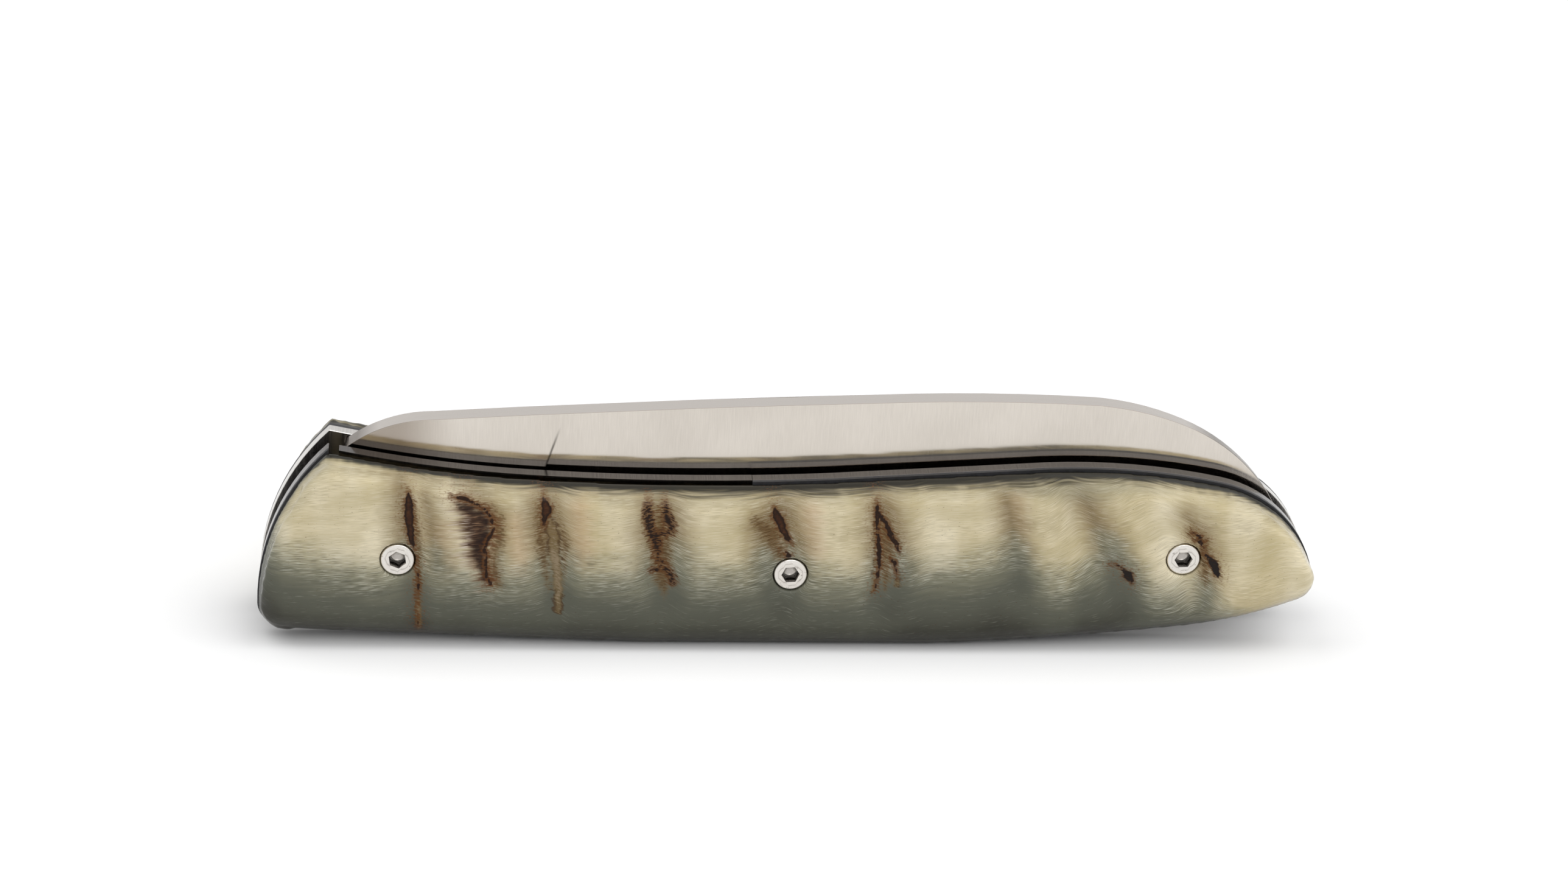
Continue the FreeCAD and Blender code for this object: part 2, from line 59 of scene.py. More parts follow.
def add(tree, kind, sockets=None, out=0, **settings):
    # Adds a node with its settings, links or sets its sockets, and gives one of its outputs
    made = tree.nodes.new(kind)
    for name, setting in settings.items():
        setattr(made, name, setting)
    for socket, given in (sockets or {}).items():
        if isinstance(given, bpy.types.NodeSocket):
            tree.links.new(given, made.inputs[socket])
        elif isinstance(given, str):
            made.inputs[socket].default_value = linear(given)
        else:
            made.inputs[socket].default_value = given
    return made.outputs[out] if made.outputs else None


def cover(tree, colour, shade, share, bounds, blend="LINEAR"):
    # Lays a shade over a colour: each bound is what it goes by, where the shade starts and where it is full
    for measure, start, full in bounds:
        share = add(tree, "ShaderNodeMapRange", {
            "Value": measure, "From Min": start, "From Max": full, "To Max": share}, interpolation_type=blend)
    return add(tree, "ShaderNodeMix", {SHARE: share, UNDER: colour, OVER: shade}, out=MIXED, data_type="RGBA")


def new_material(name):
    material = bpy.data.materials.new(name)
    material.use_nodes = True
    tree = material.node_tree
    tree.nodes.clear()
    return material, tree


def wear(piece, material):
    piece.data.materials.clear()
    piece.data.materials.append(material)


# Camera: a little above the knife and in front of it, slightly rolled

# Width and focal length in pixels of the photo, width of the sensor and place in millimetres
PHOTO_WIDTH = 2576
FOCAL_LENGTH = 6190
SENSOR_WIDTH = 36
CAMERA_PLACE = (-37.6, -386.25, 194.1)
CAMERA_RIGHT = (0.9963, -0.0743, 0.0435)
CAMERA_AHEAD = (0.0855, 0.911, -0.4034)

camera_data = bpy.data.cameras.new("camera")
camera_data.sensor_width = SENSOR_WIDTH
camera_data.lens = SENSOR_WIDTH * FOCAL_LENGTH / PHOTO_WIDTH
camera_data.clip_start = 0.01
camera_data.clip_end = 20
camera = bpy.data.objects.new("camera", camera_data)
scene.collection.objects.link(camera)
right = Vector(CAMERA_RIGHT).normalized()
ahead = Vector(CAMERA_AHEAD)
ahead = (ahead - right * ahead.dot(right)).normalized()
aim = Matrix((right, right.cross(ahead), -ahead)).transposed().to_4x4()
camera.matrix_world = Matrix.Translation(Vector(CAMERA_PLACE) * MM) @ aim
scene.camera = camera

# White studio: the backdrop shows white to the eye and in the metal, and lights the rest more softly

BACKDROP_SEEN = 1.0
BACKDROP_LIGHT = 0.5
FLOOR_SIZE = 6.0
# Softboxes aimed at the knife: place, width and depth in metres, and power in watts
SOFTBOXES = {
    "left_softbox": ((-0.6, 0.1, 1.0), 1.0, 1.0, 5.2),
    "right_softbox": ((0.6, 0.1, 1.0), 1.0, 1.0, 5.4),
    "front_softbox": ((0.35, -0.6, 1.0), 1.6, 1.0, 6.8),
}

world = bpy.data.worlds.new("studio")
scene.world = world
world.use_nodes = True
tree = world.node_tree
tree.nodes.clear()
path = add(tree, "ShaderNodeLightPath").node.outputs
seen = add(tree, "ShaderNodeMath", {0: path["Is Camera Ray"], 1: path["Is Glossy Ray"]}, operation="MAXIMUM")
seen = add(tree, "ShaderNodeMath", {0: seen, 1: path["Is Transmission Ray"]}, operation="MAXIMUM")
strength = add(tree, "ShaderNodeMapRange", {"Value": seen, "To Min": BACKDROP_LIGHT, "To Max": BACKDROP_SEEN})
sky = add(tree, "ShaderNodeBackground", {"Color": "#FFFFFF", "Strength": strength})
add(tree, "ShaderNodeOutputWorld", {"Surface": sky})

for name, (place, width, depth, power) in SOFTBOXES.items():
    softbox_data = bpy.data.lights.new(name, "AREA")
    softbox_data.shape = "RECTANGLE"
    softbox_data.size = width
    softbox_data.size_y = depth
    softbox_data.energy = power
    softbox = bpy.data.objects.new(name, softbox_data)
    scene.collection.objects.link(softbox)
    aim = Vector(place).to_track_quat("Z", "Y").to_matrix().to_4x4()
    softbox.matrix_world = Matrix.Translation(place) @ aim

bpy.ops.object.select_all(action="DESELECT")
bpy.ops.mesh.primitive_grid_add(x_subdivisions=4, y_subdivisions=4, size=FLOOR_SIZE)
floor = bpy.context.object
floor.name = "studio_floor"
# White paper: matt and plain, nearly as bright as the backdrop
material, tree = new_material("white_paper_sweep")
paper = add(tree, "ShaderNodeBsdfDiffuse", {"Color": "#EEEEEE", "Roughness": 1.0})
add(tree, "ShaderNodeOutputMaterial", {"Surface": paper})
wear(floor, material)

# Horn scales: each starts as the sound solid of its scale and is then worked as horn

# Marks of the near scale as brush strokes, in millimetres: along, up and half the width
MARKS = {
    # Brown cracks, filled flush
    "crack": [
        [(-43.4, 20.4, -0.2), (-43.3, 19.6, 0.1), (-43.2, 18.6, 0.42), (-43.2, 17.0, 0.48),
         (-43.0, 15.2, 0.38), (-42.9, 13.6, 0.28), (-42.6, 12.9, 0.1)],
        [(-42.4, 12.0, 0.03), (-42.3, 10.4, 0.05), (-42.1, 8.5, 0.12), (-42.3, 6.7, 0.05),
         (-42.2, 4.8, 0.0), (-42.1, 2.9, 0.05)],
        [(-39.0, 19.6, -0.2), (-38.4, 19.3, 0.1), (-37.3, 19.1, 0.22), (-36.3, 18.6, 0.18),
         (-35.5, 18.2, 0.13), (-34.7, 17.6, 0.13), (-34.1, 16.7, 0.14), (-33.8, 15.5, 0.13),
         (-34.1, 14.7, 0.14), (-34.6, 13.6, 0.16), (-34.9, 12.7, 0.14), (-34.6, 12.0, 0.13),
         (-34.7, 10.9, 0.16), (-34.6, 9.7, 0.17), (-34.1, 8.6, 0.2)],
        [(-28.6, 19.5, -0.2), (-28.3, 18.7, 0.3), (-28.0, 17.8, 0.56), (-28.2, 16.9, 0.34),
         (-28.3, 15.6, 0.1)],
        [(-2.8, 18.3, 0.05), (-2.5, 17.3, 0.48), (-1.8, 16.0, 0.44), (-1.3, 14.8, 0.32),
         (-0.6, 13.8, 0.1)],
        [(-1.3, 12.9, 0.08), (-0.9, 12.3, 0.28)],
        [(8.7, 19.2, 0.0), (8.75, 18.0, 0.26), (8.85, 16.2, 0.16), (9.1, 14.4, 0.2), (9.3, 12.4, 0.24),
         (9.35, 11.1, 0.18), (9.2, 9.3, 0.1), (9.0, 8.0, 0.04)],
        [(9.0, 17.7, 0.2), (9.8, 16.6, 0.22), (10.4, 15.1, 0.28), (11.2, 13.8, 0.26), (11.6, 12.7, 0.0)],
        [(10.5, 12.2, 0.05), (11.1, 11.5, 0.2), (11.45, 9.8, 0.04)],
        [(35.4, 11.5, 0.0), (36.4, 11.4, 0.06), (37.2, 10.8, 0.1), (37.7, 10.2, 0.5), (38.3, 9.2, 0.08)],
        [(44.4, 15.6, 0.04), (45.4, 15.2, 0.12), (46.2, 14.5, 0.03)],
        [(44.7, 14.8, 0.03), (45.6, 14.4, 0.12), (46.1, 13.6, 0.04)],
        [(46.2, 12.9, 0.1), (47.0, 12.2, 0.34), (47.5, 11.4, 0.42), (47.9, 10.5, 0.28), (48.2, 9.8, 0.0)],
    ],
    # Broken rungs between two short cracks
    "rungs": [
        [(-16.8, 18.4, 0.3), (-16.8, 17.6, 0.5), (-16.7, 16.2, 0.5), (-16.4, 15.2, 0.5),
         (-15.8, 14.0, 0.55), (-15.6, 12.8, 0.35), (-15.5, 11.8, 0.1)],
        [(-14.9, 18.3, 0.3), (-14.7, 17.0, 0.5), (-14.2, 15.9, 0.5), (-14.0, 15.0, 0.2)],
        [(-16.4, 15.0, 0.25), (-15.2, 14.9, 0.35), (-14.1, 15.1, 0.15)],
        [(-16.0, 12.0, 0.0), (-15.2, 11.6, 0.25), (-14.6, 11.3, 0.1)],
        [(-16.4, 10.4, 0.15), (-15.5, 10.6, 0.3), (-14.4, 10.6, 0.3), (-13.8, 9.2, 0.4),
         (-13.6, 8.6, 0.1)],
    ],
    # Grey-brown filling in the lower ends of some cracks
    "filling": [
        [(-27.8, 17.0, 0.2), (-27.4, 15.6, 0.58), (-27.2, 14.6, 0.66), (-27.1, 12.6, 0.58),
         (-26.75, 10.4, 0.52), (-26.55, 7.7, 0.46), (-26.5, 6.4, 0.46), (-26.5, 5.3, 0.36)],
        [(-42.1, 6.4, 0.2), (-42.0, 2.8, 0.26)],
        [(8.5, 17.0, 0.05), (8.72, 15.0, 0.12), (8.95, 10.5, 0.12), (8.85, 8.0, 0.18)],
        [(11.45, 9.3, 0.25), (11.5, 8.8, 0.3)],
        [(45.8, 12.6, 0.3), (46.5, 12.0, 0.4)],
    ],
    # Black spots in two of the cracks
    "soot": [
        [(37.0, 10.9, 0.1), (37.7, 10.2, 0.5), (38.2, 9.3, 0.15)],
        [(46.6, 12.5, 0.15), (47.3, 11.7, 0.4), (47.8, 10.8, 0.36), (48.1, 9.9, 0.1)],
    ],
    # Burnt brown stain inside the hooked crack
    "burn": [
        [(-38.5, 19.0, -0.4), (-37.0, 17.8, 0.8), (-35.8, 16.4, 1.4), (-35.5, 14.9, 1.45),
         (-35.8, 13.3, 1.1), (-35.4, 11.9, 0.7), (-35.1, 10.6, 0.4), (-34.6, 9.0, 0.2)],
    ],
    # Tan stains beside the cracks
    "tan": [
        [(-42.5, 19.4, -0.8), (-42.6, 16.5, 0.3), (-42.3, 13.5, 0.3), (-42.1, 8.0, 0.1),
         (-42.2, 3.0, -0.4)],
        [(-38.4, 19.2, -0.4), (-34.4, 17.8, 0.3), (-33.4, 16.4, 0.5), (-33.2, 14.0, 0.45),
         (-33.9, 12.4, 0.3), (-33.6, 8.8, 0.5)],
        [(-28.9, 18.0, 0.1), (-28.4, 13.0, 0.45), (-27.6, 8.0, -0.2)],
        [(-26.8, 17.6, -0.6), (-26.0, 14.0, 0.4), (-25.9, 8.0, -0.5)],
        [(-15.7, 18.2, -0.2), (-15.4, 14.0, 1.1), (-14.9, 9.5, 0.8), (-14.6, 7.0, -0.4)],
        [(-4.8, 16.6, 0.3), (-3.0, 15.0, 0.9), (-1.8, 12.6, 0.5)],
        [(9.0, 18.0, -0.4), (9.9, 14.5, 0.8), (10.2, 10.0, 0.3), (10.2, 8.0, -0.4)],
        [(44.4, 15.6, 0.4), (45.9, 14.4, 0.45), (46.5, 10.4, 0.4), (46.8, 8.6, -0.3)],
    ],
    # Hollows round the cracks: olive colour, deepened with painted shade
    "hollow_olive_and_shade": [
        [(-44.2, 21.3, 1.2), (-43.6, 17.0, 1.8), (-43.0, 12.0, 1.8), (-42.2, 6.7, 1.3),
         (-41.9, 3.0, 0.9)],
        [(-41.4, 19.5, 0.8), (-40.6, 15.0, 1.2), (-40.0, 11.0, 1.2)],
        [(-36.5, 20.2, 0.8), (-33.2, 17.4, 0.6), (-33.0, 13.0, 0.6), (-33.6, 9.5, 0.5)],
        [(-28.4, 20.4, 2.0), (-27.9, 15.8, 2.6), (-27.0, 11.5, 2.3), (-26.6, 7.0, 1.6)],
        [(-15.6, 20.0, 2.4), (-15.2, 14.8, 3.1), (-14.8, 10.9, 2.9), (-14.3, 7.3, 2.0)],
        [(-1.8, 19.4, 2.0), (-2.6, 16.0, 3.2), (-2.0, 13.5, 3.5), (-1.6, 10.0, 3.0), (-1.2, 6.5, 2.0)],
        [(8.8, 20.4, 1.5), (9.9, 15.5, 2.5), (10.6, 11.0, 2.7), (10.6, 7.0, 2.4)],
        [(22.8, 20.8, 1.1), (24.1, 16.3, 1.4), (25.1, 12.4, 1.6), (25.6, 9.0, 1.6)],
        [(31.4, 21.0, 1.2), (33.4, 17.0, 1.6), (35.4, 13.4, 1.9), (37.2, 9.5, 1.9), (38.0, 6.0, 1.4)],
        [(43.8, 17.7, 0.9), (45.6, 15.4, 1.4), (46.8, 12.5, 1.4), (47.0, 8.4, 1.2), (46.9, 6.5, 0.8)],
    ],
    # Rosy patches
    "blush": [
        [(-24.6, 18.0, 0.6), (-24.2, 12.0, 0.8)], [(-31.2, 16.0, 0.8), (-30.6, 10.0, 0.8)],
        [(1.2, 18.0, 0.6), (1.6, 13.0, 0.8)], [(-39.8, 15.0, 0.6), (-39.4, 10.0, 0.8)],
        [(24.0, 20.0, 0.6), (25.0, 13.0, 0.6)],
    ],
    # Greyer horn under the top edge at the rear
    "grey_rim": [
        [(21.0, 21.4, 0.2), (28.0, 21.0, 1.0), (33.0, 21.0, 1.2), (38.0, 21.4, 0.6), (43.0, 21.6, 0.3)],
    ],
}
# The fibres climb to each of these crests and drop behind it: along, climb, run-up, drop and the length of
# the drop, in millimetres
CRESTS = [
    (-43.0, 0.7, 9.0, 1.2, 2.4), (-34.4, 0.5, 6.0, 0.5, 1.8), (-27.5, 1.2, 5.0, 1.8, 3.2),
    (-15.3, 1.6, 7.0, 1.8, 3.4), (-1.6, 2.0, 9.0, 1.6, 3.2), (8.8, 0.8, 5.0, 1.6, 3.0),
    (15.0, 1.2, 4.0, 0.0, 1.0), (24.4, 1.3, 6.0, 0.6, 2.6), (32.4, 2.7, 5.8, 1.3, 4.0),
    (42.4, 2.0, 5.4, 2.9, 5.4), (55.0, 1.4, 6.5, 0.6, 5.0),
]
# How far the crests lean forward for each millimetre up, along the scale
LEAN = [(-60, 0.0), (18, 0.0), (28, 0.26), (37, 0.7), (46, 0.4), (60, 0.1)]
# Middle of the change from cream to smoke, along and up in millimetres
SMOKE_LINE = [
    (-61, 15.6), (-58.8, 13.6), (-57, 11.8), (-54, 10.8), (-51, 10.4), (-47.8, 9.7), (-44, 10.0),
    (-40.6, 9.5), (-37.5, 9.9), (-34, 9.2), (-28, 9.2), (-25, 9.9), (-19, 9.8), (-16, 9.2), (-12, 9.7),
    (-6, 9.9), (-3, 9.8), (1, 9.5), (5, 9.4), (7.8, 8.9), (11, 9.8), (14, 10.8), (17, 10.6), (20, 10.8),
    (23, 12.0), (26, 11.2), (29, 9.0), (31, 9.0), (33, 11.0), (36, 11.6), (38.5, 10.0), (41, 8.2),
    (43, 8.0), (46.5, 7.2), (49.5, 5.0), (52, 2.0), (56, -2.0), (61, -5.0),
]
# Soft dips where the horn was hollow before polishing: path in millimetres, depth and reach
DIPS = [
    ([(-43.2, 20.0), (-43.0, 14.0), (-42.2, 5.0)], 0.12, 2.4),
    ([(-35.5, 17.0), (-34.2, 9.0)], 0.1, 3.0),
    ([(-28.2, 19.0), (-26.8, 7.0)], 0.14, 2.6),
    ([(-15.8, 18.5), (-14.6, 8.0)], 0.14, 3.2),
    ([(-2.2, 18.0), (-1.0, 13.0)], 0.1, 2.6),
    ([(9.4, 19.0), (10.2, 7.0)], 0.14, 2.8),
    ([(23.5, 19.0), (24.6, 9.0)], 0.1, 3.0),
    ([(33.0, 19.5), (37.8, 9.0)], 0.15, 2.6),
    ([(46.2, 16.0), (47.6, 8.0)], 0.1, 2.6),
]
# How thin the dark rim is along the near scale, and everywhere on the far one
RIM = [(-46, 2.8), (-36, 2.1), (-5, 1.7), (30, 1.6), (38, 2.2)]
FAR_RIM = 1.2
# How fast the dark of the top edge fades down the face, and outwards from the sheet
FADE_DOWN = 1.8
FADE_OUTWARDS = 0.27
# Eased edges: axes along and across the outline and its side, the band outwards and the depth inwards of the
# points that are pushed, the push along, outwards and up, and its reach
EASED_EDGES = [
    (ALONG, UP, 1, (5.1, 5.7), 0.3, (0.0, 0.0, -0.5), 1.6),
    (UP, ALONG, -1, (5.1, 5.7), 0.3, (0.45, 0.0, -0.2), 1.6),
    (ALONG, UP, -1, (6.7, 7.1), 1.6, (0.0, -0.6, 0.6), 2.9),
]
# Faces of a scale, the middle of its height and how far its rounding reaches, in millimetres
scale_low, scale_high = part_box("near_scale")
OUTER_FACE = -scale_low[OUTWARD] / MM
INNER_FACE = -scale_high[OUTWARD] / MM
MID_HEIGHT = 11.0
ROUNDING = 3.0
# How far along the horn the marks of the far scale are shifted
FAR_SHIFT = -3.0
# How near its path and the outer face the points of a dip lie, and size of the cells of the worked surface
DIP_NEAR = 0.35
CELL = 0.28
# Points of one mesh closer than this are one point; strokes further off than this don't matter
MERGED = 0.0005
FAR_AWAY = 20.0
# Step along an outline, and what stands for its edge before one is found
OUTLINE_STEP = 0.4
NO_EDGE = -1000.0
# Step along the fibres, and how far either way they are worked out
FIBRE_STEP = 0.1
FIBRE_END = 90
# Softness of the crests, how many times it is felt either way, and the height they lean from
CREST_BLUR = 0.8
BLUR_REACH = 3
LEAN_FROM = 14.0
# Distance from a hollow at which the smoke starts to climb, the way over which it does, and how far it climbs
CLIMB_START = 1.2
CLIMB_WAY = 3.0
CLIMB = 2.4
# Middle of a noise pattern
NOISE_MIDDLE = 0.5


def smooth(share):
    return share ** 2 * (3 - 2 * share)


def along_horn(along, turned):
    # The far scale is from the other side of the horn: its marks run the other way along
    return turned * along + (FAR_SHIFT if turned < 0 else 0.0)


def distance_to(points, strokes):
    # How far each point lies outside the nearest stroke, negative inside it
    nearest = np.full(len(points), FAR_AWAY)
    for stroke in strokes:
        for start, end in zip(stroke, stroke[1:]):
            run = np.subtract(end, start)
            away = points - np.array(start[:2])
            share = np.clip(away @ run[:2] / (run[:2] @ run[:2]), 0, 1)
            gap = np.linalg.norm(away - share[:, None] * run[:2], axis=1) - (start[2] + share * run[2])
            nearest = np.minimum(nearest, gap)
    return nearest


def gap_to_edge(points, along, across, sign):
    # How far each point lies inside the outline, measured across it
    first = points[:, along].min()
    cells = np.round((points[:, along] - first) / OUTLINE_STEP).astype(int)
    edge = np.full(cells.max() + 1, NO_EDGE)
    np.maximum.at(edge, cells, sign * points[:, across])
    steps = first + OUTLINE_STEP * np.arange(len(edge))
    return np.interp(points[:, along], steps, edge) - sign * points[:, across]


def places(piece):
    # Points of the piece in millimetres
    flat = np.empty(len(piece.data.vertices) * 3)
    piece.data.vertices.foreach_get("co", flat)
    return flat.reshape(-1, 3) / MM


def store(piece, fields):
    # Keeps a number for each point, for the finish to read
    for name, numbers in fields.items():
        attribute = piece.data.attributes.new(name, "FLOAT", "POINT")
        attribute.data.foreach_set("value", np.asarray(numbers, dtype=np.float32))


def take_up(piece):
    bpy.ops.object.select_all(action="DESELECT")
    piece.select_set(True)
    bpy.context.view_layer.objects.active = piece


def select_nothing():
    # Leaves no point, edge or face of the active piece selected
    bpy.ops.object.mode_set(mode="EDIT")
    bpy.ops.mesh.select_all(action="DESELECT")
    bpy.ops.object.mode_set(mode="OBJECT")


def copy_of_node(node, name):
    piece = bpy.data.objects.new(name, nodes[node].data.copy())
    piece.data.name = name
    scene.collection.objects.link(piece)
    take_up(piece)
    bpy.ops.object.mode_set(mode="EDIT")
    bpy.ops.mesh.select_all(action="SELECT")
    bpy.ops.mesh.remove_doubles(threshold=MERGED * MM)
    bpy.ops.object.mode_set(mode="OBJECT")
    return piece


def apply(piece, kind, **settings):
    bpy.context.view_layer.objects.active = piece
    modifier = piece.modifiers.new(kind.lower(), kind)
    for name, setting in settings.items():
        setattr(modifier, name, setting)
    bpy.ops.object.modifier_apply(modifier=modifier.name)


def press(piece, chosen, push, reach):
    # Pushes the chosen points and, softly, what lies within reach, in millimetres
    select_nothing()
    piece.data.vertices.foreach_set("select", chosen)
    bpy.ops.object.mode_set(mode="EDIT")
    bpy.ops.transform.translate(value=Vector(push) * MM, use_proportional_edit=True,
                                proportional_edit_falloff="SMOOTH", proportional_size=reach * MM)
    bpy.ops.object.mode_set(mode="OBJECT")


def mark_grain(piece, turned):
    points = places(piece)
    along = along_horn(points[:, ALONG], turned)
    outward = np.abs(points[:, OUTWARD])
    height = points[:, UP]
    fields = {name: distance_to(np.column_stack((along, height)), strokes) for name, strokes in MARKS.items()}
    # Fibres follow the face, wrap over its rounded edges and ride over the crests
    rows = np.arange(-FIBRE_END, FIBRE_END, FIBRE_STEP)
    lift = np.zeros(len(rows))
    for crest, climb, run_up, drop, fall in CRESTS:
        rising = np.clip((rows - crest + run_up) / run_up, 0, 1)
        falling = np.clip((rows - crest) / fall, 0, 1)
        lift += climb * rising ** 2 - drop * smooth(falling)
    steps = np.arange(-BLUR_REACH, BLUR_REACH + FIBRE_STEP / 2, FIBRE_STEP / CREST_BLUR)
    weights = np.exp(-0.5 * steps ** 2)
    lift = np.convolve(lift, weights / weights.sum(), "same")
    leaning = along + np.interp(along, *zip(*LEAN)) * (height - LEAN_FROM)
    wrap = np.clip((height - MID_HEIGHT) / ROUNDING, -1, 1) * (OUTER_FACE - outward)
    fields["fibre_up"] = height + wrap - np.interp(leaning, rows, lift)
    # The smoke climbs higher in the hollows
    sunk = np.clip((CLIMB_START - fields["hollow_olive_and_shade"]) / CLIMB_WAY, 0, 1)
    fields["smoke"] = np.interp(along, *zip(*SMOKE_LINE)) - height + CLIMB * smooth(sunk)
    # Dark rims, partly painted shade, thinnest at the front of the near scale and widest on the far scale
    rim = np.interp(along, *zip(*RIM)) if turned > 0 else FAR_RIM
    fields["below_top"] = rim * gap_to_edge(points, ALONG, UP, 1)
    fields["above_belly"] = gap_to_edge(points, ALONG, UP, -1)
    off_sheet = rim * (outward - INNER_FACE)
    fields["top_edge"] = np.hypot(FADE_DOWN * fields["below_top"], FADE_OUTWARDS * off_sheet)
    fields["front_edge"] = rim * gap_to_edge(points, UP, ALONG, -1)
    store(piece, fields)


def make_horn_scale(node, name, side):
    piece = copy_of_node(node, name)
    apply(piece, "REMESH", mode="VOXEL", voxel_size=CELL * MM, use_smooth_shade=True)
    apply(piece, "SMOOTH", factor=0.5, iterations=6)
    turned = -side
    for path, depth, reach in DIPS:
        points = places(piece)
        stroke = [(along_horn(along, turned), height, 0.0) for along, height in path]
        on_path = distance_to(points[:, [ALONG, UP]], [stroke]) < DIP_NEAR
        on_face = points[:, OUTWARD] * side > OUTER_FACE - DIP_NEAR
        press(piece, on_path & on_face, (0, -side * depth, 0), reach)
    # The top and the front are eased outwards from the sheet, and the belly is rounded under
    for along, across, sign, (nearer, further), depth, (push, push_outward, push_up), reach in EASED_EDGES:
        points = places(piece)
        outward = points[:, OUTWARD] * side
        in_band = (outward > nearer) & (outward < further)
        at_edge = gap_to_edge(points, along, across, sign) < depth
        press(piece, in_band & at_edge, (push, side * push_outward, push_up), reach)
    mark_grain(piece, turned)
    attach(piece, "handle")
    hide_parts(node)
    return piece


# Polished ram's horn: cream keratin with grey-green smoke below, fine fibres along it and brown cracks
horn, tree = new_material("polished_ram_horn")
spot = add(tree, "ShaderNodeTexCoord", out="Object")
source = {name: add(tree, "ShaderNodeAttribute", out="Fac", attribute_name=name)
          for name in (*MARKS, "fibre_up", "smoke", "top_edge", "front_edge", "below_top", "above_belly")}
along_fibre = add(tree, "ShaderNodeSeparateXYZ", {0: spot}, out="X")
across_fibre = add(tree, "ShaderNodeMath", {0: source["fibre_up"], 1: MM}, operation="MULTIPLY")
fibre = add(tree, "ShaderNodeCombineXYZ", {"X": along_fibre, "Z": across_fibre})
# Each pattern: length and height of its features, in millimetres, and its detail; threads and dashes are
# drawn coarser than the horn's own fibres, which are too fine to show
for name, (length, tall, detail) in {
    "bands": (5.0, 22.0, 2.0),
    "patches": (8.0, 3.5, 1.0),
    "strands": (7.0, 0.5, 3.0),
    "threads": (3.0, 0.14, 2.0),
    "dashes": (1.4, 0.07, 1.0),
    "flecks": (0.32, 0.13, 1.0),
    "fray": (0.55, 0.22, 3.0),
    "ragged": (1.1, 0.6, 2.0),
}.items():
    scaled = add(tree, "ShaderNodeMapping", {
        "Vector": fibre, "Scale": (1 / (length * MM), 1, 1 / (tall * MM))})
    source[name] = add(tree, "ShaderNodeTexNoise", {
        "Vector": scaled, "Scale": 1.0, "Detail": detail}, out="Fac")

colour = cover(tree, "#C8BA94", "#E2D7BA", 1.0, [(source["bands"], 0.34, 0.66)])
